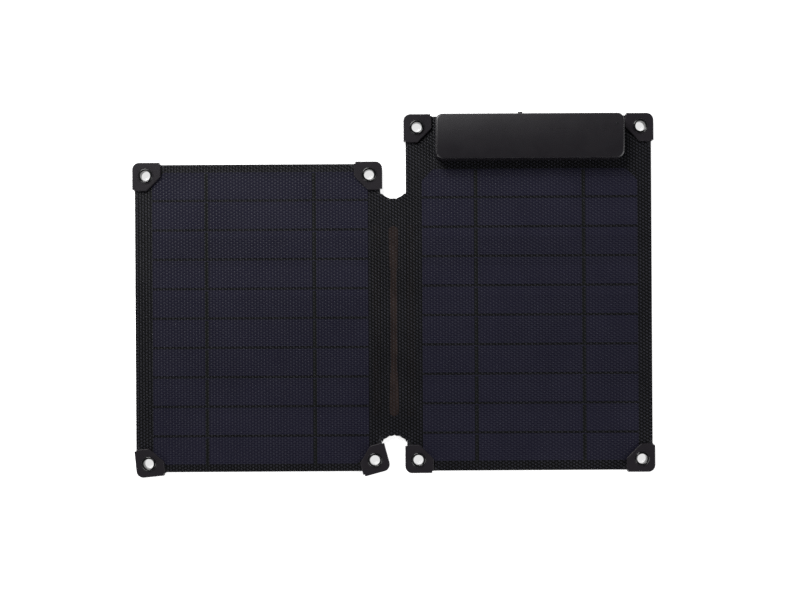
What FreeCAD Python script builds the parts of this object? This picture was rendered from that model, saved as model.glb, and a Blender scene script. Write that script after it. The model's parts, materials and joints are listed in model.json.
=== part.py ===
"""Two-leaf folding solar charger, lying open and face up.

The main panel (right) carries a controller box along its top edge. The leaf panel (left) hangs on a soft
web and folds face down onto the main panel, just below the box. Each panel is a lamination: woven back
cover, stiff board, black encapsulant, ten cell strips with their ribbons, clear encapsulant and a front
film. Moulded guards with eyelets close the eight corners.

Millimetres, +Z up. The script models with the fold line at X = 0 and the panels' bottom edge at Y = 0,
then moves everything so that the origin is the bottom centre of the bounding box.
"""

import FreeCAD, Part  # noqa: E401  FreeCAD has to be imported first
import math
import os

V = FreeCAD.Vector
UP = V(0, 0, 1)

# Driving dimensions: panels and fold
WAFER = 156.75          # full width of a pseudo-square wafer, and so of each cell strip
WAFER_ROUND = 105.0     # radius that cuts the wafer's corners
STRIPS = 10             # cell strips in each panel
STRIP_GAP = 1.8
STRIP_H = WAFER / 8     # each wafer is cut into eight strips
PANEL_W = 178.5
MAIN_H = 257.6
LEAF_H = 223.4
FOLD_GAP = 18.6         # free width of the web between the two panels
NOTCH_R = 10.9          # round notch at each end of the web
NOTCH_TOP = 198.1       # lowest point of the upper notch
NOTCH_BOTTOM = 25.6     # highest point of the lower notch
LAMINATE_R = 3.5
CELLS_SHIFT_MAIN = 0.65     # cell field off the panel's centre line
CELLS_SHIFT_LEAF = 1.75
CELLS_UP_MAIN = 7.2         # cell field above the bottom edge
CELLS_UP_LEAF = 5.6

# Driving dimensions: heights of the lamination
LIP = 1.6               # corner guard below and above the lamination
BACK_T = 0.6
BOARD_T = 0.9
BLACK_T = 1.5
CELL_T = 0.2
RIBBON_T = 0.12
RIBBON_W = 2.6
CLEAR_T = 0.4
FILM_T = 0.3
WEB_FABRIC_T = 0.5
WEB_CORE_T = 0.5

Z_BACK = LIP
Z_BLACK = Z_BACK + BACK_T
Z_CELL = Z_BLACK + BLACK_T
Z_FILM = Z_CELL + CLEAR_T
Z_FRONT = Z_FILM + FILM_T
Z_BUS = Z_CELL - 2 * RIBBON_T

# Corner guards and eyelets
WALL = 1.5
GUARD_LEG = 20.6
GUARD_CUT = 10.3        # where the guard's inner corner is cut off
GUARD_T = Z_FRONT + LIP
GUARD_R = LAMINATE_R + WALL
EYELET_IN = 8.1         # eyelet centre from the lamination's two edges
EYELET_BORE_R = 3.6
EYELET_BARREL_R = 4.3
EYELET_RIM_R = 5.3
RIM_T = 0.55
BOSS_R = 6.0
BOSS_T = 0.3
RIM_TOP = GUARD_T + BOSS_T + RIM_T

# Controller box
BOX_W = 135.5
BOX_D = 32.4
BOX_TOP = 17.4
BOX_R = 5.0
BOX_EDGE_R = 1.4
BOX_CROWN = 1.2         # how much lower the top's long edges are than its middle
BOX_WALL = 1.8
PORT_WALL = 3.0
GASKET_T = 0.4
SCREW_R = 1.0
BOARD_SCREW_R = 0.75
PORT_SIDE = -6.85       # port recess off the box's centre line
RECESS_W = 34.0
RECESS_T = 1.6
RECESS_Z = (6.2, 15.2)
USB_A = (-6.5, 13.1, 5.7, 14.0)      # X from the recess centre, width, height, depth
USB_C = (9.0, 8.94, 3.26, 7.35)
USB_C_LIFT = 0.3        # USB-C socket above the board's face
SOCKET_WALL = 0.3
MOUTH_IN = 2.0          # socket mouths behind the box's port face
PCB_Z = (6.6, 7.8)
COVER_T = 1.5

# Places that follow from the above
MAIN_X = FOLD_GAP / 2                   # main panel's inner edge; the leaf's is at -MAIN_X
MAIN_X2 = MAIN_X + PANEL_W
BOX_X = MAIN_X + PANEL_W / 2            # box centre
BOX_Y2 = MAIN_H
BOX_Y1 = MAIN_H - BOX_D
CROWN_R = (BOX_D ** 2 / 4 + BOX_CROWN ** 2) / (2 * BOX_CROWN)
PORT_X = BOX_X + PORT_SIDE
PITCH = STRIP_H + STRIP_GAP
CELLS_H = STRIPS * PITCH - STRIP_GAP
COVER_AXIS = (BOX_Y2 - COVER_T / 2, RECESS_Z[0] + 0.1 + COVER_T / 2)
SCREWS = [(BOX_X - 56, BOX_Y2 - 6.6), (BOX_X + 56, BOX_Y2 - 6.6)]
SCREWS += [(BOX_X + dx, BOX_Y1 + 5.0) for dx in (-56, 0, 56)]
BOARD_POSTS = [(BOX_X - 30, BOX_Y1 + 7.5), (BOX_X + 32, BOX_Y2 - 12.0)]
LED_XY = (BOX_X + 62.4, BOX_Y2 - 8.2)
LEAD_X = {"leaf_plus": BOX_X - 52, "leaf_minus": BOX_X - 44, "top": BOX_X + 22, "bottom": BOX_X + 52}
LEAD_Y = BOX_Y1 + 5.75

# Flat circuit that crosses the fold, and the flat bus ribbons that it joins
BUS_W = 2.4
MINUS_Y = 60.0
PLUS_Y = 150.0
FLEX_Y = (39.7, 178.8)
FLEX_T = 0.12
FLEX_BARE = 3.8         # half width of the part that shows through the film
FLEX_TAIL = 6.2
CREASE_GAP = 0.3        # kept clear on each side of the fold line
FOLD_AXIS_Z = RIM_TOP + 0.15    # halfway between the eyelets' rims when the leaf is shut


def box(x1, x2, y1, y2, z1, z2):
    return Part.makeBox(x2 - x1, y2 - y1, z2 - z1, V(x1, y1, z1))


def post(x, y, r, z1, z2):
    return Part.makeCylinder(r, z2 - z1, V(x, y, z1))


def plate(points, z1, z2):
    """A flat polygon between two heights."""
    ring = [V(x, y, z1) for x, y in points]
    return Part.Face(Part.makePolygon(ring + ring[:1])).extrude(V(0, 0, z2 - z1))


def upright_edges(shape):
    """Edges along Z."""
    return [e for e in shape.Edges if len(e.Vertexes) == 2
            and abs(e.Vertexes[0].Z - e.Vertexes[1].Z) > 1e-6
            and math.hypot(e.Vertexes[0].X - e.Vertexes[1].X, e.Vertexes[0].Y - e.Vertexes[1].Y) < 1e-6]


def edges_at(shape, z):
    """Edges that lie wholly at one height."""
    return [e for e in shape.Edges if abs(e.BoundBox.ZMin - z) < 1e-6 and abs(e.BoundBox.ZMax - z) < 1e-6]


def rounded(x1, x2, y1, y2, z1, z2, r):
    """A block with its four upright edges rounded."""
    block = box(x1, x2, y1, y2, z1, z2)
    return block.makeFillet(r, upright_edges(block))


def cut_all(shape, tools):
    return shape.cut(Part.makeCompound(tools)) if tools else shape


def group(shapes):
    return Part.makeCompound(shapes)


# Corners of the panels: name, lamination corner, quarter turns, and how far that guard sits off square.

def corners(x1, x2, top, askew):
    """The four corners of a panel between x1 and x2.

    askew gives a guard's own (turn in degrees, shift in X, shift in Y).
    """
    places = {
        "bottom_left": (x1, 0, 0),
        "bottom_right": (x2, 0, 1),
        "top_right": (x2, top, 2),
        "top_left": (x1, top, 3),
    }
    return {name: (V(x, y, 0), quarter, askew.get(name, (0, 0, 0)))
            for name, (x, y, quarter) in places.items()}


MAIN_CORNERS = corners(MAIN_X, MAIN_X2, MAIN_H, {})
LEAF_ASKEW = {"bottom_right": (15.0, 3.2, 0.0), "bottom_left": (5.5, 1.4, -1.8)}
LEAF_CORNERS = corners(-MAIN_X2, -MAIN_X, LEAF_H, LEAF_ASKEW)


def at_corner(shape, corner):
    """Puts a shape made at the origin, with the panel towards +X +Y, at a corner."""
    place, quarter, (turn, dx, dy) = corner
    placed = shape.copy()
    placed.rotate(V(EYELET_IN, EYELET_IN, 0), UP, turn)
    placed.rotate(V(0, 0, 0), UP, 90 * quarter)
    placed.translate(place + V(dx, dy, 0))
    return placed


def eyelet_centre(corner):
    """Where the eyelet of a corner stands."""
    spot = at_corner(Part.Vertex(EYELET_IN, EYELET_IN, 0), corner)
    return spot.X, spot.Y


def upright_at(shape, x, y):
    """The upright edge that stands at one point."""
    return [e for e in upright_edges(shape) if math.hypot(e.Vertexes[0].X - x, e.Vertexes[0].Y - y) < 1e-6]


def guard_slot():
    """The room inside a guard for the lamination's corner."""
    far = GUARD_LEG * 2
    slot = box(0, far, 0, far, LIP, Z_FRONT)
    return slot.makeFillet(LAMINATE_R, upright_at(slot, 0, 0))


def guard():
    """Moulded corner guard: two side walls, a slot for the lamination and a boss for the eyelet."""
    leg, cut = GUARD_LEG - WALL, GUARD_CUT - WALL
    body = plate([(-WALL, -WALL), (leg, -WALL), (leg, cut), (cut, leg), (-WALL, leg)], 0, GUARD_T)
    body = body.makeFillet(1.2, [e for e in upright_edges(body) if e.Vertexes[0].X + e.Vertexes[0].Y > leg])
    body = body.makeFillet(GUARD_R, upright_at(body, -WALL, -WALL))
    body = body.makeFillet(0.6, edges_at(body, GUARD_T) + edges_at(body, 0))
    boss = post(EYELET_IN, EYELET_IN, BOSS_R, GUARD_T - 0.5, GUARD_T + BOSS_T)
    boss = boss.makeChamfer(0.25, edges_at(boss, GUARD_T + BOSS_T))
    body = body.fuse(boss)
    far = GUARD_LEG * 2
    step = GUARD_LEG - WALL - 1.1
    steps = [box(step, far, -far, 0, -1, far), box(-far, 0, step, far, -1, far)]
    hole = post(EYELET_IN, EYELET_IN, EYELET_BARREL_R + 0.05, -1, far)
    recess = post(EYELET_IN, EYELET_IN, EYELET_RIM_R + 0.3, -1, 0.95)
    return cut_all(body, [guard_slot(), hole, recess] + steps).removeSplitter()


def eyelet():
    """Rolled metal eyelet: barrel, domed front rim and a back rim sunk into the guard."""
    seat = GUARD_T + BOSS_T
    b, r, rim = EYELET_BORE_R, EYELET_BARREL_R, EYELET_RIM_R
    lines = [
        Part.LineSegment(V(b, 0, 0.8), V(b, 0, seat)),
        Part.Arc(V(b, 0, seat), V(b + 0.17, 0, seat + 0.40), V(b + 0.6, 0, seat + RIM_T)),
        Part.Arc(V(b + 0.6, 0, seat + RIM_T), V(rim - 0.14, 0, seat + 0.36), V(rim, 0, seat)),
        Part.LineSegment(V(rim, 0, seat), V(r, 0, seat)),
        Part.LineSegment(V(r, 0, seat), V(r, 0, 0.95)),
        Part.LineSegment(V(r, 0, 0.95), V(rim, 0, 0.95)),
        Part.Arc(V(rim, 0, 0.95), V(rim - 0.2, 0, 0.4), V(b + 0.7, 0, 0.2)),
        Part.Arc(V(b + 0.7, 0, 0.2), V(b + 0.2, 0, 0.4), V(b, 0, 0.8)),
    ]
    profile = Part.Face(Part.Wire([line.toShape() for line in lines]))
    ring = profile.revolve(V(0, 0, 0), UP, 360)
    ring.translate(V(EYELET_IN, EYELET_IN, 0))
    return ring


def guard_room():
    """What the guard's walls take from the lamination, and the hole for the eyelet's barrel."""
    far = GUARD_LEG - WALL
    walls = box(-15, far, -15, far, LIP, Z_FRONT).cut(guard_slot())
    return walls.fuse(post(EYELET_IN, EYELET_IN, EYELET_BARREL_R + 0.5, 0, GUARD_T))


def corner_cut(leg):
    """A triangle that takes off a corner."""
    return plate([(-20, -20), (leg + 20, -20), (-20, leg + 20)], 0, GUARD_T)


# Lamination

def strips(x, y):
    """Ten cell strips, the first and last with the wafer's round corners.

    x is their centre line and y their bottom edge.
    """
    made = []
    for i in range(STRIPS):
        low = y + i * PITCH
        strip = box(x - WAFER / 2, x + WAFER / 2, low, low + STRIP_H, Z_CELL, Z_CELL + CELL_T)
        if i == 0:
            strip = strip.common(post(x, low + WAFER / 2, WAFER_ROUND, 0, 9))
        if i == STRIPS - 1:
            strip = strip.common(post(x, low + STRIP_H - WAFER / 2, WAFER_ROUND, 0, 9))
        made.append(strip)
    return made


def ribbon(x, over_to, over_from, under_to):
    """A ribbon over one strip, from over_to to over_from, that steps down under the next, to under_to."""
    top, under = Z_CELL + CELL_T, Z_CELL - RIBBON_T
    y1, y2 = over_from - 0.3, over_from - STRIP_GAP + 0.3
    line = [(over_to, top), (y1, top), (y2, under), (under_to, under)]
    ring = [V(x, y, z + RIBBON_T) for y, z in line] + [V(x, y, z) for y, z in reversed(line)]
    return Part.Face(Part.makePolygon(ring + ring[:1])).extrude(V(RIBBON_W, 0, 0))


def ribbons(x, y):
    """Two rows of ribbons that put the strips in series, from the bottom bus to the top bus."""
    made = []
    for line in (x - WAFER / 4 - RIBBON_W / 2, x + WAFER / 4 - RIBBON_W / 2):
        for i in range(STRIPS):
            low = y + i * PITCH
            end = low - PITCH + 1.0 if i else low - STRIP_GAP - 1.0
            made.append(ribbon(line, low + STRIP_H - 0.8, low, end))
        top = y + CELLS_H
        made.append(box(line, line + RIBBON_W, top - STRIP_H + 1.0, top + 2.6, Z_CELL - RIBBON_T, Z_CELL))
    return made


def tape(x1, x2, y1, y2):
    """A stretch of flat bus ribbon under the cell plane."""
    return box(x1, x2, y1, y2, Z_BUS, Z_BUS + RIBBON_T)


def bent_tape(x1, x2, y1, y2, upright_at):
    """Bus ribbon from x1 to x2 along y1, with an upright run at upright_at that ends at y2."""
    low, high = sorted((y1, y2))
    across = tape(x1, x2, y1 - BUS_W / 2, y1 + BUS_W / 2)
    upright = tape(upright_at - BUS_W / 2, upright_at + BUS_W / 2, low - BUS_W / 2, high + BUS_W / 2)
    return across.fuse(upright).removeSplitter()


def main_bus():
    """Bus ribbons of the main panel, and the runs behind the cells from the leaf's circuit to the box."""
    x = BOX_X + CELLS_SHIFT_MAIN
    edge, half = MAIN_X + 2.5, BUS_W / 2
    top, bottom = CELLS_UP_MAIN + CELLS_H + 2.1, CELLS_UP_MAIN - 3.1
    return [bent_tape(x - 45, x + 45, top, LEAD_Y, LEAD_X["top"]),
            bent_tape(x - 45, LEAD_X["bottom"] + half, bottom, LEAD_Y, LEAD_X["bottom"]),
            bent_tape(edge, LEAD_X["leaf_plus"] + half, PLUS_Y, LEAD_Y, LEAD_X["leaf_plus"]),
            bent_tape(edge, LEAD_X["leaf_minus"] + half, MINUS_Y, LEAD_Y, LEAD_X["leaf_minus"])]


def leaf_bus():
    """Bus ribbons of the leaf, with runs behind the cells that end under the flat circuit."""
    x = -BOX_X + CELLS_SHIFT_LEAF
    run, edge = x + 59, -MAIN_X - 2.5
    made = []
    for bus, end in ((CELLS_UP_LEAF + CELLS_H + 2.0, PLUS_Y), (CELLS_UP_LEAF - 2.3, MINUS_Y)):
        along = bent_tape(x - 45, run + BUS_W / 2, bus, end, run)
        made.append(along.fuse(tape(run, edge, end - BUS_W / 2, end + BUS_W / 2)).removeSplitter())
    return made


def flex_tail(side):
    """End of the flat circuit inside a panel. side is 1 for the main panel and -1 for the leaf."""
    x1, x2 = sorted((side * MAIN_X, side * (MAIN_X + FLEX_TAIL)))
    return box(x1, x2, *FLEX_Y, Z_CELL - FLEX_T, Z_CELL)


def leads():
    """Four flat tabs that rise from the bus ribbons to the underside of the circuit board."""
    return [box(x - 0.9, x + 0.9, LEAD_Y - 0.25, LEAD_Y + 0.25, Z_BUS + RIBBON_T, PCB_Z[0])
            for x in LEAD_X.values()]


def lamination(x1, x2, height, places, cells, runs, tail, holes):
    """The layers of one panel, by name. holes are cut through every layer."""
    def layer(z1, z2, tools):
        full = rounded(x1, x2, 0, height, z1, z2, LAMINATE_R)
        return cut_all(full, tools + holes)

    room = [at_corner(guard_room(), c) for c in places.values()]
    clear_of_eyelet = [at_corner(corner_cut(2 * EYELET_IN + 7.1), c) for c in places.values()]
    far_from_guard = [at_corner(corner_cut(2 * EYELET_IN + 14.0), c) for c in places.values()]
    board = cut_all(box(x1 + 4, x2 - 4, 4, height - 4, Z_BLACK, Z_BLACK + BOARD_T), far_from_guard + holes)
    inside = cells + runs + [tail]

    def doubled(z1, z2, patch_z1, patch_z2):
        """A layer whose four corners are doubled, to fill the stack out to the guards."""
        patches = layer(patch_z1, patch_z2, room).common(group(clear_of_eyelet)).cut(group(cells))
        return layer(z1, z2, room).fuse(patches).removeSplitter()

    return {
        "back_cover": doubled(Z_BACK, Z_BLACK, Z_BLACK, Z_CELL),
        "stiffener_board": board,
        "black_encapsulant": layer(Z_BLACK, Z_CELL, room + clear_of_eyelet + [board] + runs + [tail]),
        "clear_encapsulant": layer(Z_CELL, Z_FILM, room + clear_of_eyelet + inside),
        "front_film": doubled(Z_FILM, Z_FRONT, Z_CELL, Z_FILM),
    }


# Web between the panels, in two halves that meet at the fold line

def web_outline():
    """Plan of the whole web: a strip with a round notch at each end."""
    strip = box(-MAIN_X, MAIN_X, NOTCH_BOTTOM - NOTCH_R, NOTCH_TOP + NOTCH_R, 0, GUARD_T)
    notches = [post(0, y, NOTCH_R, 0, GUARD_T) for y in (NOTCH_BOTTOM - NOTCH_R, NOTCH_TOP + NOTCH_R)]
    return cut_all(strip, notches)


def web_half(side):
    """The layers of one half of the web, by name. side is 1 next to the main panel, -1 next to the leaf."""
    def span(a, b):
        return sorted((side * a, side * b))

    half = web_outline().common(box(*span(CREASE_GAP, MAIN_X), -50, 300, 0, 20))
    z = Z_FRONT - FILM_T - WEB_CORE_T - WEB_FABRIC_T
    flex = box(*span(CREASE_GAP, FLEX_BARE), *FLEX_Y, Z_FILM - FLEX_T, Z_FILM)
    flex = flex.fuse(box(*span(FLEX_BARE - 0.3, MAIN_X), *FLEX_Y, Z_FILM - 2 * FLEX_T, Z_FILM - FLEX_T))
    return {
        "web_fabric": half.common(box(-50, 50, -50, 300, z, z + WEB_FABRIC_T)),
        "web_core": half.common(box(-50, 50, -50, 300, z + WEB_FABRIC_T, Z_FILM)).cut(flex),
        "web_film": half.common(box(-50, 50, -50, 300, Z_FILM, Z_FRONT)),
        "flat_circuit_web": flex.removeSplitter(),
    }


# Controller box

def under_crown(r):
    """A round bar of radius r along the box, about the axis of the crowned top."""
    start = V(BOX_X - BOX_W, (BOX_Y1 + BOX_Y2) / 2, BOX_TOP - CROWN_R)
    return Part.makeCylinder(r, 2 * BOX_W, start, V(1, 0, 0))


def controller_shell():
    """Box cover with its bosses, port recess, socket windows and light pipe hole."""
    x1, x2 = BOX_X - BOX_W / 2, BOX_X + BOX_W / 2
    z1 = Z_FRONT + GASKET_T
    roof = BOX_TOP - BOX_WALL
    outer = rounded(x1, x2, BOX_Y1, BOX_Y2, z1, BOX_TOP + 1, BOX_R).common(under_crown(CROWN_R))
    rim = [e for e in outer.Edges if e.BoundBox.ZMin > BOX_TOP - BOX_CROWN - 0.5]
    outer = outer.makeFillet(BOX_EDGE_R, rim)
    inner = rounded(x1 + BOX_WALL, x2 - BOX_WALL, BOX_Y1 + BOX_WALL, BOX_Y2 - PORT_WALL,
                    0, roof + 1, BOX_R - BOX_WALL)
    inner = inner.common(under_crown(CROWN_R - BOX_WALL))
    shell = outer.cut(inner)
    bosses = [post(x, y, 2.4, z1, roof + 0.2) for x, y in SCREWS]
    bosses += [post(x, y, 2.2, PCB_Z[1], roof + 0.2) for x, y in BOARD_POSTS]
    shell = shell.fuse(bosses)
    pilots = [post(x, y, SCREW_R - 0.15, 0, 13.0) for x, y in SCREWS]
    pilots += [post(x, y, BOARD_SCREW_R, 0, 13.0) for x, y in BOARD_POSTS]
    recess = box(PORT_X - RECESS_W / 2, PORT_X + RECESS_W / 2, BOX_Y2 - RECESS_T, BOX_Y2 + 5, *RECESS_Z)
    windows = []
    for (dx, width, height, _), lift, room in ((USB_A, 0.0, 0.3), (USB_C, USB_C_LIFT, 0.35)):
        low = PCB_Z[1] + lift
        windows.append(box(PORT_X + dx - width / 2 - room, PORT_X + dx + width / 2 + room,
                           BOX_Y2 - 10, BOX_Y2, low - room, low + height + room))
    windows = [w.cut(box(0, 300, 0, BOX_Y2 - PORT_WALL - 0.01, -1, 30)) for w in windows]
    pipe = post(*LED_XY, 1.05, 0, 30)
    return cut_all(shell, pilots + windows + [recess, pipe]).removeSplitter()


def controller_gasket():
    """Flat seal between the box and the film."""
    x1, x2 = BOX_X - BOX_W / 2 + 0.3, BOX_X + BOX_W / 2 - 0.3
    top = Z_FRONT + GASKET_T
    ring = rounded(x1, x2, BOX_Y1 + 0.3, BOX_Y2 - 0.3, Z_FRONT, top, BOX_R - 0.3)
    return ring.cut(rounded(x1 + 1.3, x2 - 1.3, BOX_Y1 + 1.6, BOX_Y2 - 1.6, 0, 30, BOX_R - 1.6))


def back_plate():
    """Plate behind the panel that the box is screwed to."""
    plate_ = rounded(BOX_X - BOX_W / 2, BOX_X + BOX_W / 2, BOX_Y1, BOX_Y2, 0, LIP, BOX_R)
    plate_ = plate_.makeFillet(0.5, edges_at(plate_, 0))
    holes = [post(x, y, SCREW_R + 0.1, -1, 5) for x, y in SCREWS]
    sinks = [post(x, y, 2.1, -1, 1.2) for x, y in SCREWS]
    return cut_all(plate_, holes + sinks)


def case_screw(x, y):
    """Cross-head screw, driven from behind."""
    screw = post(x, y, 1.95, 0.2, 1.2).fuse(post(x, y, SCREW_R - 0.15, 1.2, 12.0))
    cross = [box(x - a, x + a, y - b, y + b, 0, 0.75) for a, b in ((1.1, 0.2), (0.2, 1.1))]
    return cut_all(screw, cross)


def board_screw(x, y):
    """Slotted screw that holds the circuit board to a post under the box's roof."""
    screw = post(x, y, 1.6, PCB_Z[0] - 0.9, PCB_Z[0]).fuse(post(x, y, BOARD_SCREW_R, PCB_Z[0], 12.0))
    return screw.cut(box(x - 1.0, x + 1.0, y - 0.2, y + 0.2, 0, PCB_Z[0] - 0.5))


def circuit_board():
    """Converter board, with holes for the case bosses and its own two screws."""
    x1, x2 = BOX_X - BOX_W / 2 + BOX_WALL + 0.4, BOX_X + BOX_W / 2 - BOX_WALL - 0.4
    board = rounded(x1, x2, BOX_Y1 + BOX_WALL + 0.4, BOX_Y2 - PORT_WALL - 0.3, *PCB_Z, 2.8)
    holes = [post(x, y, 2.7, 0, 30) for x, y in SCREWS]
    holes += [post(x, y, 0.8, 0, 30) for x, y in BOARD_POSTS]
    return cut_all(board, holes)


def socket(spec, r, lift):
    """Metal shell of a socket, open at its mouth, and the plastic insert with its tongue."""
    dx, width, height, depth = spec
    x, y2, z = PORT_X + dx, BOX_Y2 - MOUTH_IN, PCB_Z[1] + lift
    w = SOCKET_WALL

    def tube(inset, y1, y2):
        block = box(x - width / 2 + inset, x + width / 2 - inset, y1, y2, z + inset, z + height - inset)
        along = [e for e in block.Edges if abs(e.Vertexes[0].Y - e.Vertexes[1].Y) > 1e-6]
        return block.makeFillet(max(r - inset, 0.15), along)

    shell = tube(0, y2 - depth, y2).cut(tube(w, y2 - depth - 1, y2 + 1))
    thick, reach, base, drop = (1.84, 8.4, 3.0, 0.55) if spec is USB_A else (0.7, 4.6, 1.6, 0)
    centre = z + height / 2 - drop
    back = y2 - depth + base
    insert = tube(w, y2 - depth, back)
    tongue = box(x - width / 2 + 1.0, x + width / 2 - 1.0, back - 0.5, back + reach,
                 centre - thick / 2, centre + thick / 2)
    return shell, insert.fuse(tongue).removeSplitter()


def port_cover():
    """Rubber flap over the sockets: a plate with a round lower edge, two plugs and a pull tab."""
    ya, za = COVER_AXIS
    x1, x2 = PORT_X - RECESS_W / 2 + 0.2, PORT_X + RECESS_W / 2 - 0.2
    half = COVER_T / 2
    flap = box(x1, x2, ya - half, ya + half, za, RECESS_Z[1] - 0.2)
    flap = flap.fuse(Part.makeCylinder(half, x2 - x1, V(x1, ya, za), V(1, 0, 0)))
    a, c = PORT_X + USB_A[0], PORT_X + USB_C[0]
    plugs = [box(a - 5.6, a + 5.6, ya - 2.25, ya, 8.6, 12.4), box(c - 3.4, c + 3.4, ya - 1.95, ya, 9.0, 10.2)]
    tab = box(PORT_X - 1.6, PORT_X + 1.6, ya, ya + half + 1.1, 13.0, 14.4)
    return flap.fuse(plugs + [tab]).removeSplitter()


def parts_on_board():
    """Power parts of the converter, by name."""
    z = PCB_Z[1]
    coil = rounded(BOX_X - 48, BOX_X - 38, BOX_Y1 + 10, BOX_Y1 + 20, z, z + 4.5, 1.5)
    coil = coil.cut(post(BOX_X - 43, BOX_Y1 + 15, 1.2, z + 3.5, z + 6))
    cans = [post(BOX_X + dx, BOX_Y1 + 9, 3.15, z, z + 5.8) for dx in (-20, -12)]
    chips = [box(BOX_X - 33, BOX_X - 28, BOX_Y1 + 14, BOX_Y1 + 18, z, z + 1.5),
             box(BOX_X + 10, BOX_X + 15, BOX_Y1 + 10, BOX_Y1 + 15, z, z + 1.0)]
    diodes = [box(BOX_X + dx, BOX_X + dx + 4.5, BOX_Y1 + 9, BOX_Y1 + 11.6, z, z + 2.2) for dx in (36, 44)]
    led = [box(LED_XY[0] - 0.8, LED_XY[0] + 0.8, LED_XY[1] - 0.4, LED_XY[1] + 0.4, z, z + 0.7)]
    return {"storage_coil": [coil], "capacitors": cans, "converter_chips": chips,
            "blocking_diodes": diodes, "status_led": led}


def light_pipe():
    """Clear rod that brings the status light to the box's face."""
    top = BOX_TOP - 0.2
    rod = post(*LED_XY, 1.0, PCB_Z[1] + 0.8, top)
    return rod.makeFillet(0.2, edges_at(rod, top))


def main_panel():
    """Every node that stays with the main panel."""
    x, y = BOX_X + CELLS_SHIFT_MAIN, CELLS_UP_MAIN
    cells, joins, bus, tail = strips(x, y), ribbons(x, y), main_bus(), flex_tail(1)
    holes = [post(sx, sy, SCREW_R + 0.2, -1, 9) for sx, sy in SCREWS]
    slots = [box(lx - 1.2, lx + 1.2, LEAD_Y - 0.5, LEAD_Y + 0.5, Z_BUS + RIBBON_T, 9)
             for lx in LEAD_X.values()]
    layers = lamination(MAIN_X, MAIN_X2, MAIN_H, MAIN_CORNERS, cells, joins + bus, tail, holes + slots)
    nodes = {f"{name}_main": [shape] for name, shape in layers.items()}
    nodes.update({"cell_strips_main": cells, "cell_ribbons_main": joins, "bus_ribbons_main": bus,
                  "flat_circuit_tail_main": [tail], "box_leads": leads()})
    for name, corner in MAIN_CORNERS.items():
        nodes[f"corner_guard_main_{name}"] = [at_corner(guard(), corner)]
        nodes[f"eyelet_main_{name}"] = [at_corner(eyelet(), corner)]
    a_shell, a_insert = socket(USB_A, 0.4, 0.0)
    c_shell, c_insert = socket(USB_C, 1.6, USB_C_LIFT)
    nodes.update({
        "controller_shell": [controller_shell()], "controller_gasket": [controller_gasket()],
        "controller_back_plate": [back_plate()], "case_screws": [case_screw(*s) for s in SCREWS],
        "circuit_board": [circuit_board()], "board_screws": [board_screw(*p) for p in BOARD_POSTS],
        "usb_a_socket_shell": [a_shell], "usb_a_socket_insert": [a_insert],
        "usb_c_socket_shell": [c_shell], "usb_c_socket_insert": [c_insert], "light_pipe": [light_pipe()],
    })
    nodes.update(parts_on_board())
    return nodes


def leaf_panel():
    """Every node that folds with the leaf."""
    x, y = -BOX_X + CELLS_SHIFT_LEAF, CELLS_UP_LEAF
    cells, joins, bus, tail = strips(x, y), ribbons(x, y), leaf_bus(), flex_tail(-1)
    layers = lamination(-MAIN_X2, -MAIN_X, LEAF_H, LEAF_CORNERS, cells, joins + bus, tail, [])
    nodes = {f"{name}_leaf": [shape] for name, shape in layers.items()}
    nodes.update({"cell_strips_leaf": cells, "cell_ribbons_leaf": joins, "bus_ribbons_leaf": bus,
                  "flat_circuit_tail_leaf": [tail]})
    for name, corner in LEAF_CORNERS.items():
        nodes[f"corner_guard_leaf_{name}"] = [at_corner(guard(), corner)]
        nodes[f"eyelet_leaf_{name}"] = [at_corner(eyelet(), corner)]
    return nodes


def assembly():
    """{body: {node: [solids]}} with the fold line at X = 0."""
    web = {side: {f"{name}_{side}": [shape] for name, shape in web_half(sign).items()}
           for side, sign in (("main", 1), ("leaf", -1))}
    return {
        "main_panel": main_panel() | web["main"],
        "leaf_panel": leaf_panel() | web["leaf"],
        "port_cover": {"port_cover": [port_cover()]},
    }


def to_origin(bodies):
    """How far everything moves so that the origin is the bottom centre of the bounding box."""
    whole = group([s for nodes in bodies.values() for solids in nodes.values() for s in solids])
    b = whole.optimalBoundingBox(False, False)
    return V(-(b.XMin + b.XMax) / 2, -(b.YMin + b.YMax) / 2, -b.ZMin)


def main():
    os.makedirs("parts", exist_ok=True)
    bodies = assembly()
    shift = to_origin(bodies)
    print("origin shift", shift)
    for nodes in bodies.values():
        for name, solids in nodes.items():
            for s in solids:
                s.translate(shift)
            shape = solids[0] if len(solids) == 1 else group(solids)
            bad = [s for s in shape.Solids if not s.isValid() or s.Volume <= 0]
            if bad or not shape.Solids:
                print("PROBLEM", name, len(shape.Solids), len(bad))
            shape.exportStep(f"parts/{name}.step")
    return bodies, shift


if __name__ == "__main__":
    main()
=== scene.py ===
"""Looks of the two-leaf folding solar charger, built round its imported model.

Metres, +Z up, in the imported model's own frame: the charger lies open, face up, on z = 0. Most nodes keep
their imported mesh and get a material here. The dimpled front film, and every layer of the soft web, are built
here, because the film carries thousands of dimples and the web bends when the leaf is folded.
"""

import json
import math

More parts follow.
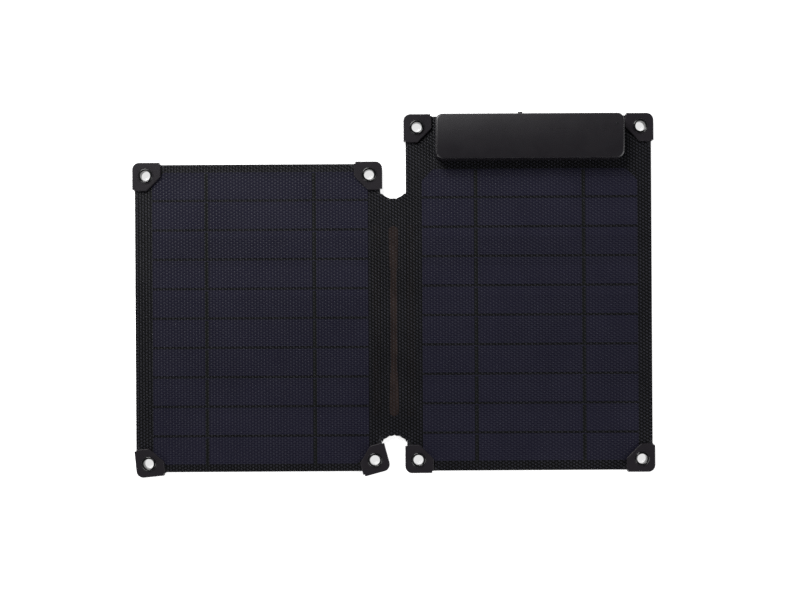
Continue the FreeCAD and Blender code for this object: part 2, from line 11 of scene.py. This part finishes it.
import bmesh
import bpy
import numpy as np
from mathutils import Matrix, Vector


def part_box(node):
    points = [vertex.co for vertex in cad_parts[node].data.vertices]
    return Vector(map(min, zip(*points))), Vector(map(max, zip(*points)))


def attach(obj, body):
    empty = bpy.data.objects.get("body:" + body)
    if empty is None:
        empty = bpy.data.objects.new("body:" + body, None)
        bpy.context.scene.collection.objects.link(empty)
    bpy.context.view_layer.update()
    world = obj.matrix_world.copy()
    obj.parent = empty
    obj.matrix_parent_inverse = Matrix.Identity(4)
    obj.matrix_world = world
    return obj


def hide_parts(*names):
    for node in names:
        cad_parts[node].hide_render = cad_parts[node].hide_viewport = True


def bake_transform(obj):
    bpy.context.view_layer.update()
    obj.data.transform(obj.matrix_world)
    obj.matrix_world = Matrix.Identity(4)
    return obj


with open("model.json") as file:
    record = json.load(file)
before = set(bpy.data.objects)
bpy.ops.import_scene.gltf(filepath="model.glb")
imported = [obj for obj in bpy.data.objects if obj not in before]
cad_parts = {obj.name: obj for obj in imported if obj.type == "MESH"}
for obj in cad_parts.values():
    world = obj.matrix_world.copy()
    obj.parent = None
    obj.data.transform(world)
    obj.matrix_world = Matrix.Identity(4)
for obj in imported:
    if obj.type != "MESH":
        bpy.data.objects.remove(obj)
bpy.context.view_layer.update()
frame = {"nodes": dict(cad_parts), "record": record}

MM = 0.001
SIDES = ("main", "leaf")
STRIPS = 10
STRIP_GAP = 1.8 * MM
STRIP_PITCH = (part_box("cell_strips_main")[1].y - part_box("cell_strips_main")[0].y + STRIP_GAP) / STRIPS

# Dimples of the film: a hexagonal lattice with upright columns, the same over both panels and the web
DIMPLE_PITCH = 2.47 * MM
DIMPLE_COLUMN = DIMPLE_PITCH * math.sqrt(3) / 2
DIMPLE_RADIUS = 1.15 * MM
DIMPLE_DEPTH = 0.26 * MM
FILM_STEP = DIMPLE_PITCH / 3      # edge of the film's triangles
WEB_STEP = 1.3 * MM               # edge of the triangles in the web's plain layers
UV_SCALE = 10.0                   # rest position in metres to UV, so that patterns stay put on bending pieces
RIM_CHUNK = 4000                  # points compared with an outline at once
KEEP = 0.45                       # triangles reach at most this many steps past an outline
SNAP = 0.25                       # points outside it, or less than this many steps inside, move onto it
SEAM_ROOM = 0.01 * MM             # added to the gap between the web's halves when their rims are joined

# Small offsets that keep stacked sheets from sharing a face
FILM_OVER_BLACK = 0.015 * MM
FILM_UNDER_CIRCUIT = 0.005 * MM
CORE_UNDER_CIRCUIT = 0.015 * MM
FABRIC_UNDER_CORE = 0.01 * MM

# Flat circuit where it shows through the film
CIRCUIT_HALF = 3.7 * MM           # half width near its ends
CIRCUIT_WAIST = 1.3 * MM          # how much less the half width is at the middle
CIRCUIT_TIP = 0.3 * MM            # least half width, at the rounded ends
CIRCUIT_SPANS = 14                # spans along each side of its outline
CIRCUIT_DEPTH = 0.11 * MM         # its underside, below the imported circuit's top
CIRCUIT_T = 0.09 * MM

# Weave of the back cover and of the boards, and the cells' printed lines
CLOTH_THREAD = 0.55 * MM
BOARD_THREAD = 0.8 * MM
TRACK_WAVE = 1900.0               # radians a metre, so tracks 3.3 mm apart
LINE_PITCH = 1.5 * MM
LINE_HALF = 0.085 * MM

# Camera: its height, the point in the middle of the picture, the point below the lens, focal length and turn
CAMERA_HEIGHT = 0.9
CAMERA_AIM = (4.45 * MM, -3.4 * MM)
CAMERA_FOOT = (2.0 * MM, -32.0 * MM)
FOCAL_LENGTH = 55.45
SENSOR_WIDTH = 36.0
CAMERA_TURN = 0.33                # degrees that the charger lies off square
FACE_HEIGHT = 4.4 * MM            # the film's face, where the camera's shift is measured

# Studio floor
FLOOR_SIZE = 8
FLOOR_Z = -0.0002                 # just under the charger
FLOOR_GLOW = 0.85

# Lights: name, place, size in metres, watts
LIGHTS = (
    ("key", (-0.5, 0.92, 0.95), 0.72, 20.0),
    ("fill", (1.3, -0.5, 0.7), 1.0, 13.0),
    ("low", (-1.1, -1.1, 0.7), 0.9, 11.0),
)
WORLD_FADE = (0.05, 0.22, 0.75, 0.05)  # two heights in the sky, and the world's strength at each


# Node building

class Shader:
    """Builds one material's nodes around a Principled shader."""

    def __init__(self, name, uv=False):
        self.material = bpy.data.materials.new(name)
        self.material.use_nodes = True
        self.tree = self.material.node_tree
        self.tree.nodes.clear()
        self.output = self.tree.nodes.new("ShaderNodeOutputMaterial")
        self.principled = self.tree.nodes.new("ShaderNodeBsdfPrincipled")
        self.tree.links.new(self.principled.outputs[0], self.output.inputs["Surface"])
        coordinates = self.tree.nodes.new("ShaderNodeTexCoord")
        if uv:
            scale = (1 / UV_SCALE, 1 / UV_SCALE, 0)
            self.place = self.vector("MULTIPLY", coordinates.outputs["UV"], scale)
        else:
            self.place = coordinates.outputs["Object"]

    def feed(self, socket, value):
        """Links a socket to another node's output, or sets it to a constant."""
        if isinstance(value, bpy.types.NodeSocket):
            self.tree.links.new(value, socket)
        else:
            socket.default_value = value

    def math(self, operation, *values):
        node = self.tree.nodes.new("ShaderNodeMath")
        node.operation = operation
        for socket, value in zip(node.inputs, values):
            self.feed(socket, value)
        return node.outputs[0]

    def vector(self, operation, *values):
        node = self.tree.nodes.new("ShaderNodeVectorMath")
        node.operation = operation
        for socket, value in zip(node.inputs, values):
            self.feed(socket, value)
        return node.outputs["Value" if operation == "LENGTH" else "Vector"]

    def xyz(self, vector):
        node = self.tree.nodes.new("ShaderNodeSeparateXYZ")
        self.feed(node.inputs[0], vector)
        return node.outputs

    def joined(self, x, y):
        """The vector (x, y, 0)."""
        node = self.tree.nodes.new("ShaderNodeCombineXYZ")
        for socket, value in zip(node.inputs, (x, y)):
            self.feed(socket, value)
        return node.outputs[0]

    def noise(self, size, detail=3.0, stretch=(1, 1, 1), roughness=0.55):
        """Noise from 0 to 1 whose largest features are about size metres, stretched along the axes."""
        node = self.tree.nodes.new("ShaderNodeTexNoise")
        self.feed(node.inputs["Vector"], self.vector("DIVIDE", self.place, [size * s for s in stretch]))
        node.inputs["Scale"].default_value = 1.0
        node.inputs["Detail"].default_value = detail
        node.inputs["Roughness"].default_value = roughness
        return node.outputs["Fac"]

    def cells(self, size):
        """Grains about size metres across: the distance to the nearest grain's middle, in grains."""
        node = self.tree.nodes.new("ShaderNodeTexVoronoi")
        self.feed(node.inputs["Vector"], self.vector("DIVIDE", self.place, (size, size, size)))
        node.inputs["Scale"].default_value = 1.0
        return node.outputs["Distance"]

    def between(self, value, low, high, out_low=0.0, out_high=1.0):
        """Maps low to high onto out_low to out_high, with smooth ends."""
        node = self.tree.nodes.new("ShaderNodeMapRange")
        node.interpolation_type = "SMOOTHSTEP"
        for socket, number in zip(node.inputs, (value, low, high, out_low, out_high)):
            self.feed(socket, number)
        return node.outputs[0]

    def blend(self, factor, a, b):
        """Colour between a and b."""
        node = self.tree.nodes.new("ShaderNodeMix")
        node.data_type = "RGBA"
        self.feed(node.inputs["Factor"], factor)
        for name, value in (("A", a), ("B", b)):
            socket = [s for s in node.inputs if s.name == name and s.type == "RGBA"][0]
            self.feed(socket, value if isinstance(value, bpy.types.NodeSocket) else (*value, 1.0))
        return [s for s in node.outputs if s.type == "RGBA"][0]

    def bump(self, height, distance, strength):
        """Normal of a surface whose height from 0 to 1 stands for this distance."""
        node = self.tree.nodes.new("ShaderNodeBump")
        node.inputs["Strength"].default_value = strength
        node.inputs["Distance"].default_value = distance
        self.feed(node.inputs["Height"], height)
        return node.outputs[0]

    def set(self, **inputs):
        """Sets inputs of the Principled shader, named with _ for spaces."""
        for name, value in inputs.items():
            self.feed(self.principled.inputs[name.replace("_", " ")], value)


def dimples(shader):
    """1 at the middle of each dimple, 0 between them. Two rectangular lattices make the hexagonal one."""
    x, y, _ = shader.xyz(shader.place)
    nearest = None
    for shift in (0.0, 0.5):
        column = shader.math("ADD", shader.math("DIVIDE", x, 2 * DIMPLE_COLUMN), 0.5 + shift)
        row = shader.math("ADD", shader.math("DIVIDE", y, DIMPLE_PITCH), 0.5 + shift)
        across = shader.math("SUBTRACT", shader.math("FRACT", column), 0.5)
        along = shader.math("SUBTRACT", shader.math("FRACT", row), 0.5)
        dx = shader.math("MULTIPLY", across, 2 * DIMPLE_COLUMN)
        dy = shader.math("MULTIPLY", along, DIMPLE_PITCH)
        away = shader.vector("LENGTH", shader.joined(dx, dy))
        nearest = away if nearest is None else shader.math("MINIMUM", nearest, away)
    return shader.between(nearest, 0.0, DIMPLE_RADIUS, 1.0, 0.0)


def weave(shader, thread):
    """Height of a plain weave with threads this far apart, from 0 to 1."""
    x, y, _ = shader.xyz(shader.place)
    column, row = shader.math("DIVIDE", x, thread), shader.math("DIVIDE", y, thread)
    both = shader.math("ADD", shader.math("FLOOR", column), shader.math("FLOOR", row))
    turn = shader.math("MULTIPLY", shader.math("FRACT", shader.math("MULTIPLY", both, 0.5)), 2.0)
    heights = []
    for along, over in ((column, turn), (row, shader.math("SUBTRACT", 1.0, turn))):
        hump = shader.math("SINE", shader.math("MULTIPLY", shader.math("FRACT", along), math.pi))
        heights.append(shader.math("MULTIPLY", hump, shader.math("MULTIPLY_ADD", over, 0.5, 0.5)))
    return shader.math("MAXIMUM", *heights)


# Materials

def film_material():
    """Clear film: a satin sheen, a painted highlight on each dimple, a little uneven haze."""
    s = Shader("embossed_film", uv=True)
    dots = dimples(s)
    haze = s.noise(0.035, 4)
    # painted highlight: the base colour is paler at the middle of each dimple, more so where the haze is
    dimple_highlight = s.math("MULTIPLY", dots, s.between(haze, 0.3, 0.7, 0.6, 1.0))
    tint = s.blend(dimple_highlight, (0.001, 0.001, 0.0015), (0.080, 0.080, 0.105))
    rough = s.between(haze, 0.3, 0.7, 0.31, 0.36)
    s.set(Base_Color=tint, Roughness=rough, Normal=s.bump(dots, DIMPLE_DEPTH, 0.75), IOR=1.42, Alpha=0.19)
    return s.material


def silicon_material():
    """Cell strips: navy silicon with fine printed lines along X, in bands of slightly different tone."""
    s = Shader("silicon")
    _, y, _ = s.xyz(s.place)
    off = s.math("ABSOLUTE", s.math("SUBTRACT", s.math("FRACT", s.math("DIVIDE", y, LINE_PITCH)), 0.5))
    lines = s.between(off, 0.5 - 1.6 * LINE_HALF / LINE_PITCH, 0.5 - 0.6 * LINE_HALF / LINE_PITCH)
    band = s.tree.nodes.new("ShaderNodeTexWhiteNoise")
    band.noise_dimensions = "1D"
    s.feed(band.inputs["W"], s.math("FLOOR", s.math("DIVIDE", y, STRIP_PITCH)))
    step, cloud = s.math("MULTIPLY", band.outputs["Value"], 0.35), s.math("MULTIPLY", s.noise(0.05, 3), 0.8)
    tone = s.math("ADD", step, cloud)
    body = s.blend(s.between(tone, 0.1, 1.0), (0.0088, 0.0080, 0.0190), (0.0152, 0.0140, 0.0300))
    grain = s.noise(0.0004, 2)
    colour = s.blend(lines, body, (0.029, 0.029, 0.047))
    s.set(Base_Color=colour, Roughness=s.between(grain, 0.3, 0.7, 0.42, 0.6),
          Specular_IOR_Level=0.08, Normal=s.bump(grain, 0.00001, 0.6))
    return s.material


def ribbon_material():
    """Cell and bus ribbons, nearly black, with streaks along Y."""
    s = Shader("tinned_ribbon")
    streaks = s.noise(0.0005, 3, (1, 30, 1))
    colour = s.blend(streaks, (0.0045, 0.005, 0.0045), (0.009, 0.010, 0.009))
    s.set(Base_Color=colour, Roughness=s.between(streaks, 0.3, 0.7, 0.4, 0.6), Specular_IOR_Level=0.1,
          Normal=s.bump(streaks, 0.00002, 0.5))
    return s.material


def encapsulant_material(name="black_encapsulant", uv=False):
    """Matt black layer with slow clouds and faint fibres."""
    s = Shader(name, uv)
    cloud = s.noise(0.02, 5)
    fibre = s.noise(0.0008, 3, (1, 6, 1))
    tone = s.math("MULTIPLY_ADD", fibre, 0.4, s.math("MULTIPLY", cloud, 0.6))
    colour = s.blend(tone, (0.0022, 0.0022, 0.0027), (0.0050, 0.0050, 0.0060))
    s.set(Base_Color=colour, Roughness=s.between(cloud, 0.3, 0.7, 0.6, 0.72), Specular_IOR_Level=0.1,
          Normal=s.bump(fibre, 0.00003, 0.4))
    return s.material


def copper_material(name, dark, light, uv=False):
    """The flat circuit's foil, with stains between two tones."""
    s = Shader(name, uv)
    stain = s.noise(0.006, 5, (1, 3, 1))
    fine = s.noise(0.0006, 3, (1, 10, 1))
    colour = s.blend(s.between(stain, 0.35, 0.65), dark, light)
    s.set(Base_Color=colour, Roughness=s.between(fine, 0.3, 0.7, 0.45, 0.6), Specular_IOR_Level=0.1,
          Normal=s.bump(fine, 0.00002, 0.5))
    return s.material


def woven_material(name="woven_cover", uv=False):
    """Coated polyester in a plain weave, with uneven threads and a little fuzz."""
    s = Shader(name, uv)
    threads = weave(s, CLOTH_THREAD)
    slub = s.noise(0.004, 4, (1, 0.2, 1))
    wear = s.noise(0.06, 4)
    tone = s.math("MULTIPLY", threads, s.between(slub, 0.25, 0.75, 0.55, 1.0))
    colour = s.blend(tone, (0.003, 0.003, 0.004), (0.024, 0.024, 0.027))
    colour = s.blend(s.between(wear, 0.55, 0.8, 0.0, 0.25), colour, (0.036, 0.035, 0.036))
    rough = s.between(wear, 0.3, 0.7, 0.62, 0.78)
    s.set(Base_Color=colour, Roughness=rough, Specular_IOR_Level=0.3, Normal=s.bump(threads, 0.00012, 0.8),
          Sheen_Weight=0.1, Sheen_Roughness=0.5)
    return s.material


def moulded_material(name, dark, light, roughness, grain=0.00035, depth=0.000025, scuffs=0.15, **constants):
    """Moulded plastic or rubber: fine grain, slow changes of tone, a few pale scuffs."""
    s = Shader(name)
    cloud = s.noise(0.012, 4)
    fine = s.cells(grain)
    colour = s.blend(cloud, dark, light)
    scratch = s.between(s.noise(0.002, 5, (1, 7, 1), 0.7), 0.62, 0.75, 0.0, scuffs)
    colour = s.blend(scratch, colour, [min(1.0, c * 3.5) for c in light])
    smooth = s.between(cloud, 0.3, 0.7, roughness - 0.012, roughness + 0.012)
    rough = s.math("ADD", smooth, s.math("MULTIPLY", scratch, 0.25))
    s.set(Base_Color=colour, Roughness=rough, Normal=s.bump(fine, depth, 0.6), **constants)
    return s.material


def metal_material(name, dark, light, roughness, metallic=1.0, stretch=(1, 1, 8)):
    """Drawn or plated metal with fine streaks. A metallic of 0 gives lacquered metal."""
    s = Shader(name)
    streaks = s.noise(0.0008, 4, stretch)
    spots = s.noise(0.004, 4)
    colour = s.blend(s.math("MULTIPLY_ADD", streaks, 0.5, s.math("MULTIPLY", spots, 0.5)), dark, light)
    rough = s.between(streaks, 0.3, 0.7, roughness - 0.06, roughness + 0.08)
    s.set(Base_Color=colour, Metallic=metallic, Roughness=rough, Normal=s.bump(streaks, 0.00001, 0.4))
    return s.material


def board_material(name, mask, metal):
    """Circuit or laminate board: a weave under the coat, with a few lighter tracks."""
    s = Shader(name)
    threads = weave(s, BOARD_THREAD)
    x, _, _ = s.xyz(s.place)
    lines = s.between(s.math("SINE", s.math("MULTIPLY", x, TRACK_WAVE)), 0.8, 0.95)
    tracks = s.math("MULTIPLY", lines, s.between(s.noise(0.006, 1), 0.5, 0.55))
    colour = s.blend(threads, [0.7 * c for c in mask], mask)
    colour = s.blend(s.math("MULTIPLY", tracks, 0.6), colour, metal)
    rough = s.between(threads, 0.0, 1.0, 0.35, 0.5)
    s.set(Base_Color=colour, Roughness=rough, Normal=s.bump(threads, 0.00002, 0.5))
    return s.material


def light_pipe_material():
    """Smoky clear plastic."""
    s = Shader("light_pipe")
    cloud = s.noise(0.0015, 3)
    tint = s.blend(cloud, (0.012, 0.012, 0.014), (0.022, 0.022, 0.025))
    s.set(Base_Color=tint, Roughness=s.between(cloud, 0.3, 0.7, 0.3, 0.36), Alpha=0.8)
    return s.material


def make_materials():
    """A material for each slot but the clear layer's, and versions that follow UV for the bending pieces."""
    return {
        "embossed_film": film_material(),
        "silicon": silicon_material(),
        "tinned_ribbon": ribbon_material(),
        "black_encapsulant": encapsulant_material(),
        "web_core": encapsulant_material("web_core", uv=True),
        "copper_foil": copper_material("copper_foil", (0.0035, 0.003, 0.003), (0.007, 0.0055, 0.005)),
        "web_copper": copper_material("web_copper", (0.017, 0.0105, 0.009), (0.029, 0.0185, 0.0155), uv=True),
        "woven_cover": woven_material(),
        "web_fabric": woven_material("web_fabric", uv=True),
        "fibre_board": board_material("fibre_board", (0.30, 0.32, 0.22), (0.36, 0.37, 0.28)),
        "circuit_board": board_material("circuit_board", (0.010, 0.09, 0.035), (0.03, 0.16, 0.06)),
        "guard_plastic": moulded_material(
            "guard_plastic", (0.0125, 0.0108, 0.0136), (0.0172, 0.0150, 0.0186), 0.40,
            Specular_IOR_Level=0.22),
        "soft_touch": moulded_material(
            "soft_touch", (0.0050, 0.0038, 0.0062), (0.0063, 0.0050, 0.0077), 0.38, 0.0002, 0.000004, 0.03,
            Specular_IOR_Level=0.6),
        "rubber": moulded_material(
            "rubber", (0.010, 0.010, 0.011), (0.017, 0.017, 0.018), 0.68, 0.0003, 0.00003),
        "socket_plastic": moulded_material(
            "socket_plastic", (0.010, 0.010, 0.011), (0.018, 0.018, 0.02), 0.45),
        "ferrite": moulded_material("ferrite", (0.035, 0.034, 0.036), (0.07, 0.07, 0.075), 0.6),
        "chip_plastic": moulded_material("chip_plastic", (0.012, 0.012, 0.012), (0.025, 0.025, 0.026), 0.5),
        "led_plastic": moulded_material("led_plastic", (0.5, 0.52, 0.4), (0.7, 0.72, 0.6), 0.25, scuffs=0.0),
        "eyelet_metal": metal_material(
            "eyelet_metal", (0.003, 0.003, 0.0035), (0.007, 0.007, 0.008), 0.16, 0.0),
        "steel": metal_material("steel", (0.32, 0.32, 0.33), (0.55, 0.55, 0.56), 0.3),
        "socket_metal": metal_material(
            "socket_metal", (0.42, 0.42, 0.43), (0.62, 0.62, 0.63), 0.25, 1.0, (1, 8, 1)),
        "can_metal": metal_material("can_metal", (0.5, 0.5, 0.51), (0.7, 0.7, 0.71), 0.3),
        "light_pipe": light_pipe_material(),
    }


def paint_nodes(materials):
    """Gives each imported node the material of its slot, but for the clear layers, which the films replace."""
    for part in frame["record"]["subparts"]:
        material = materials.get(part["material_slot"])
        if material is not None:
            slots = frame["nodes"][part["node"]].data.materials
            slots.clear()
            slots.append(material)


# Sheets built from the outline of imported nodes

def rim_of(node):
    """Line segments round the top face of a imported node, as rows of x1, y1, x2, y2."""
    mesh = frame["nodes"][node].data
    places = np.array([v.co for v in mesh.vertices], float)
    top = places[:, 2].max()
    # whole tenths of a micron, so that two vertices in one place count as one
    keys = [tuple(k) for k in np.round(places * 1e7).astype(np.int64)]
    edges = {}
    for face in mesh.polygons:
        if all(abs(places[i, 2] - top) < 1e-6 for i in face.vertices):
            ring = [keys[i] for i in face.vertices]
            for a, b in zip(ring, ring[1:] + ring[:1]):
                edge = (min(a, b), max(a, b))
                edges[edge] = edges.get(edge, 0) + 1
    return np.array([[a[0], a[1], b[0], b[1]] for (a, b), n in edges.items() if n == 1], float) * 1e-7


def web_rim():
    """Outline of the whole web: the rims of its two halves, joined across the fold line."""
    seam = max(abs(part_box("web_film_main")[0].x), abs(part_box("web_film_leaf")[1].x)) + SEAM_ROOM
    rims = np.vstack([rim_of("web_film_main"), rim_of("web_film_leaf")])
    across = (np.abs(rims[:, 0]) < seam) & (np.abs(rims[:, 2]) < seam)
    ends = rims[across]
    low, high = ends[:, [1, 3]].min(), ends[:, [1, 3]].max()
    bridges = np.array([[-seam, low, seam, low], [-seam, high, seam, high]])
    return np.vstack([rims[~across], bridges])


def from_rim(points, rim):
    """Signed distance of each point from the outline, below 0 inside, and the outline's nearest point."""
    a, b = rim[:, :2], rim[:, 2:]
    along = b - a
    squared = np.maximum((along ** 2).sum(1), 1e-18)
    distance, nearest = np.empty(len(points)), np.empty((len(points), 2))
    for start in range(0, len(points), RIM_CHUNK):
        part = points[start:start + RIM_CHUNK, None, :]
        t = np.clip(((part - a) * along).sum(2) / squared, 0, 1)
        on = a + t[:, :, None] * along
        away = ((part - on) ** 2).sum(2)
        pick = away.argmin(1)
        rows = np.arange(len(pick))
        crosses = (a[:, 1] > part[:, :, 1]) != (b[:, 1] > part[:, :, 1])
        with np.errstate(divide="ignore", invalid="ignore"):
            x = a[:, 0] + (part[:, :, 1] - a[:, 1]) / along[:, 1] * along[:, 0]
        inside = (crosses & (part[:, :, 0] < x)).sum(1) % 2 == 1
        distance[start:start + RIM_CHUNK] = np.sqrt(away[rows, pick]) * np.where(inside, -1, 1)
        nearest[start:start + RIM_CHUNK] = on[rows, pick]
    return distance, nearest


def triangle_grid(rim, step):
    """Points and triangles of an even triangular grid over the outline's box."""
    low = np.minimum(rim[:, :2].min(0), rim[:, 2:].min(0)) - 2 * step
    high = np.maximum(rim[:, :2].max(0), rim[:, 2:].max(0)) + 2 * step
    wide = step * math.sqrt(3) / 2
    first, last = math.floor(low[0] / wide), math.ceil(high[0] / wide)
    bottom, top = math.floor(low[1] / step), math.ceil(high[1] / step)
    columns, rows = np.arange(first, last + 1), np.arange(bottom, top + 1)
    x = np.repeat(columns * wide, len(rows))
    y = np.tile(rows * step, len(columns)) + np.repeat(columns % 2 * step / 2, len(rows))
    index = np.arange(len(columns) * len(rows)).reshape(len(columns), len(rows))
    a, b = index[:-1, :-1], index[:-1, 1:]
    c, d = index[1:, :-1], index[1:, 1:]
    even = (columns[:-1] % 2 == 0)[:, None] & np.ones(a.shape, bool)
    first_half = np.where(even[..., None], np.stack([a, c, b], -1), np.stack([a, c, d], -1))
    second_half = np.where(even[..., None], np.stack([b, c, d], -1), np.stack([a, d, b], -1))
    return np.stack([x, y], 1), np.vstack([first_half.reshape(-1, 3), second_half.reshape(-1, 3)])


def dimple_height(points):
    """Height of the emboss at each point, from 0 to 1."""
    nearest = np.full(len(points), 1.0)
    for shift in (0.0, 0.5):
        column = points[:, 0] / (2 * DIMPLE_COLUMN) + 0.5 + shift
        row = points[:, 1] / DIMPLE_PITCH + 0.5 + shift
        dx = (column - np.floor(column) - 0.5) * 2 * DIMPLE_COLUMN
        dy = (row - np.floor(row) - 0.5) * DIMPLE_PITCH
        nearest = np.minimum(nearest, np.hypot(dx, dy))
    return 0.5 + 0.5 * np.cos(np.pi * np.clip(nearest / DIMPLE_RADIUS, 0, 1))


def sheet(name, rim, step, bottom, top, emboss=0.0, bends=False):
    """A closed sheet that fills the outline from bottom to top.

    emboss is how deep its dimples are, and bends gives its underside the same fine grid as its top.
    """
    points, triangles = triangle_grid(rim, step)
    distance, nearest = from_rim(points, rim)
    triangles = triangles[(distance[triangles] < KEEP * step).all(1)]
    snap = distance > -SNAP * step
    points[snap] = nearest[snap]
    used, triangles = np.unique(triangles, return_inverse=True)
    points, triangles = points[used], triangles.reshape(-1, 3)
    heights = top - emboss + emboss * dimple_height(points)
    mesh = bpy.data.meshes.new(name)
    mesh.from_pydata(np.column_stack([points, heights]).tolist(), [], triangles.tolist())
    bm = bmesh.new()
    bm.from_mesh(mesh)
    for face in bm.faces:
        face.smooth = True
    rim_edges = [e for e in bm.edges if e.is_boundary]
    if bends:
        copied = bmesh.ops.duplicate(bm, geom=bm.faces[:])
        for v in [g for g in copied["geom"] if isinstance(g, bmesh.types.BMVert)]:
            v.co.z = bottom
        low_edges = [copied["edge_map"][e] for e in rim_edges]
        bmesh.ops.reverse_faces(bm, faces=[g for g in copied["geom"] if isinstance(g, bmesh.types.BMFace)])
        bmesh.ops.bridge_loops(bm, edges=rim_edges + low_edges)
    else:
        walls = bmesh.ops.extrude_edge_only(bm, edges=rim_edges)["geom"]
        for v in [g for g in walls if isinstance(g, bmesh.types.BMVert)]:
            v.co.z = bottom
        low_edges = [g for g in walls if isinstance(g, bmesh.types.BMEdge) and g.is_boundary]
        bmesh.ops.triangle_fill(bm, edges=low_edges, use_beauty=True, normal=(0, 0, -1))
    for edge in rim_edges + low_edges:
        edge.smooth = False
    bmesh.ops.recalc_face_normals(bm, faces=bm.faces[:])
    layer = bm.loops.layers.uv.new("rest")
    for face in bm.faces:
        for loop in face.loops:
            loop[layer].uv = (loop.vert.co.x * UV_SCALE, loop.vert.co.y * UV_SCALE)
    bm.to_mesh(mesh)
    bm.free()
    piece = bpy.data.objects.new(name, mesh)
    bpy.context.scene.collection.objects.link(piece)
    return piece


def panel_films(materials):
    """The dimpled film of each panel, with the clear layer under it: cells and ribbons stand inside."""
    for side in SIDES:
        film, clear = f"front_film_{side}", f"clear_encapsulant_{side}"
        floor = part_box(clear)[0].z + FILM_OVER_BLACK
        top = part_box(film)[1].z
        piece = sheet(f"embossed_film_{side}", rim_of(film), FILM_STEP, floor, top, DIMPLE_DEPTH)
        piece.data.materials.append(materials["embossed_film"])
        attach(piece, f"{side}_panel")
        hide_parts(film, clear)


def circuit_rim():
    """Outline of the flat circuit where it shows: narrower half way up, with rounded ends."""
    low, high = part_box("flat_circuit_web_main")
    middle, reach = (low.y + high.y) / 2, (high.y - low.y) / 2
    side = []
    for i in range(CIRCUIT_SPANS + 1):
        t = -math.cos(math.pi * i / CIRCUIT_SPANS)
        into_end = max(0.0, (abs(t) * reach - reach + CIRCUIT_HALF) / CIRCUIT_HALF)
        rounding = math.sqrt(max(0.0, 1 - into_end ** 2))
        width = (CIRCUIT_HALF - CIRCUIT_WAIST * (1 - t * t)) * rounding
        side.append((max(CIRCUIT_TIP, width), middle + t * reach))
    ring = side + [(-x, y) for x, y in reversed(side)]
    return np.array([[*a, *b] for a, b in zip(ring, ring[1:] + ring[:1])])


def web(materials):
    """The four layers of the soft web, each one sheet across the fold line."""
    film, core, fabric = (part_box(f"web_{layer}_main") for layer in ("film", "core", "fabric"))
    circuit_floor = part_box("flat_circuit_web_main")[1].z - CIRCUIT_DEPTH
    outline = web_rim()
    # name, outline, step, bottom, top, emboss, material, slot
    layers = [
        ("web_film", outline, FILM_STEP, circuit_floor - FILM_UNDER_CIRCUIT, film[1].z, DIMPLE_DEPTH,
         "embossed_film", "embossed_film"),
        ("web_core", outline, WEB_STEP, core[0].z, circuit_floor - CORE_UNDER_CIRCUIT, 0,
         "web_core", "black_encapsulant"),
        ("web_fabric", outline, WEB_STEP, fabric[0].z, core[0].z - FABRIC_UNDER_CORE, 0,
         "web_fabric", "woven_cover"),
        ("flat_circuit_web", circuit_rim(), WEB_STEP, circuit_floor, circuit_floor + CIRCUIT_T, 0,
         "web_copper", "copper_foil"),
    ]
    for name, rim, step, bottom, top, emboss, material, slot in layers:
        piece = sheet(f"soft_{name}", rim, step, bottom, top, emboss, bends=True)
        piece.data.materials.append(materials[material])
        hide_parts(f"{name}_main", f"{name}_leaf")
        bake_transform(piece)


# Studio

def studio():
    """Pale floor, a soft light beyond the charger's upper left, two weaker ones, and a pale horizon."""
    bpy.ops.mesh.primitive_plane_add(size=FLOOR_SIZE, location=(0, 0, FLOOR_Z))
    floor = bpy.context.object
    floor.name = "studio_floor"
    s = Shader("studio_floor")
    cloud = s.noise(0.4, 3)
    white = s.blend(cloud, (0.86, 0.86, 0.86), (0.9, 0.9, 0.9))
    s.set(Base_Color=white, Roughness=0.9, Emission_Color=white, Emission_Strength=FLOOR_GLOW)
    s.material.cycles.emission_sampling = "NONE"  # leaves the samples to the lamps, for less noise
    floor.data.materials.append(s.material)
    for name, place, size, power in LIGHTS:
        lamp = bpy.data.lights.new(name, "AREA")
        lamp.size, lamp.energy = size, power
        holder = bpy.data.objects.new(name, lamp)
        holder.location = place
        holder.rotation_euler = (-Vector(place)).to_track_quat("-Z", "Y").to_euler()
        bpy.context.scene.collection.objects.link(holder)
    world = bpy.data.worlds.new("studio")
    world.use_nodes = True
    nodes, links = world.node_tree.nodes, world.node_tree.links
    direction, height = nodes.new("ShaderNodeTexCoord"), nodes.new("ShaderNodeSeparateXYZ")
    fade = nodes.new("ShaderNodeMapRange")
    for socket, number in zip(fade.inputs[1:5], WORLD_FADE):
        socket.default_value = number
    links.new(direction.outputs["Generated"], height.inputs[0])
    links.new(height.outputs["Z"], fade.inputs["Value"])
    links.new(fade.outputs[0], nodes["Background"].inputs["Strength"])
    nodes["Background"].inputs["Color"].default_value = (1, 1, 1, 1)
    world.cycles.sampling_method = "NONE"
    bpy.context.scene.world = world
    bpy.context.scene.view_settings.view_transform = "Standard"
    bpy.context.scene.cycles.use_denoising = False  # denoising wipes out the dimples


def camera():
    """Straight down on the open charger, shifted to put the aim in the middle of the picture."""
    aim, foot = Vector(CAMERA_AIM), Vector(CAMERA_FOOT)
    lens = bpy.data.cameras.new("camera")
    lens.sensor_width = SENSOR_WIDTH
    lens.lens = FOCAL_LENGTH
    view = bpy.data.objects.new("camera", lens)
    view.location = (foot.x, foot.y, CAMERA_HEIGHT)
    view.rotation_euler = (0, 0, -math.radians(CAMERA_TURN))
    seen_width = lens.sensor_width / lens.lens * (CAMERA_HEIGHT - FACE_HEIGHT)
    lens.shift_x, lens.shift_y = (aim - foot) / seen_width
    bpy.context.scene.collection.objects.link(view)
    bpy.context.scene.camera = view


def main():
    materials = make_materials()
    paint_nodes(materials)
    panel_films(materials)
    web(materials)
    studio()
    camera()


main()
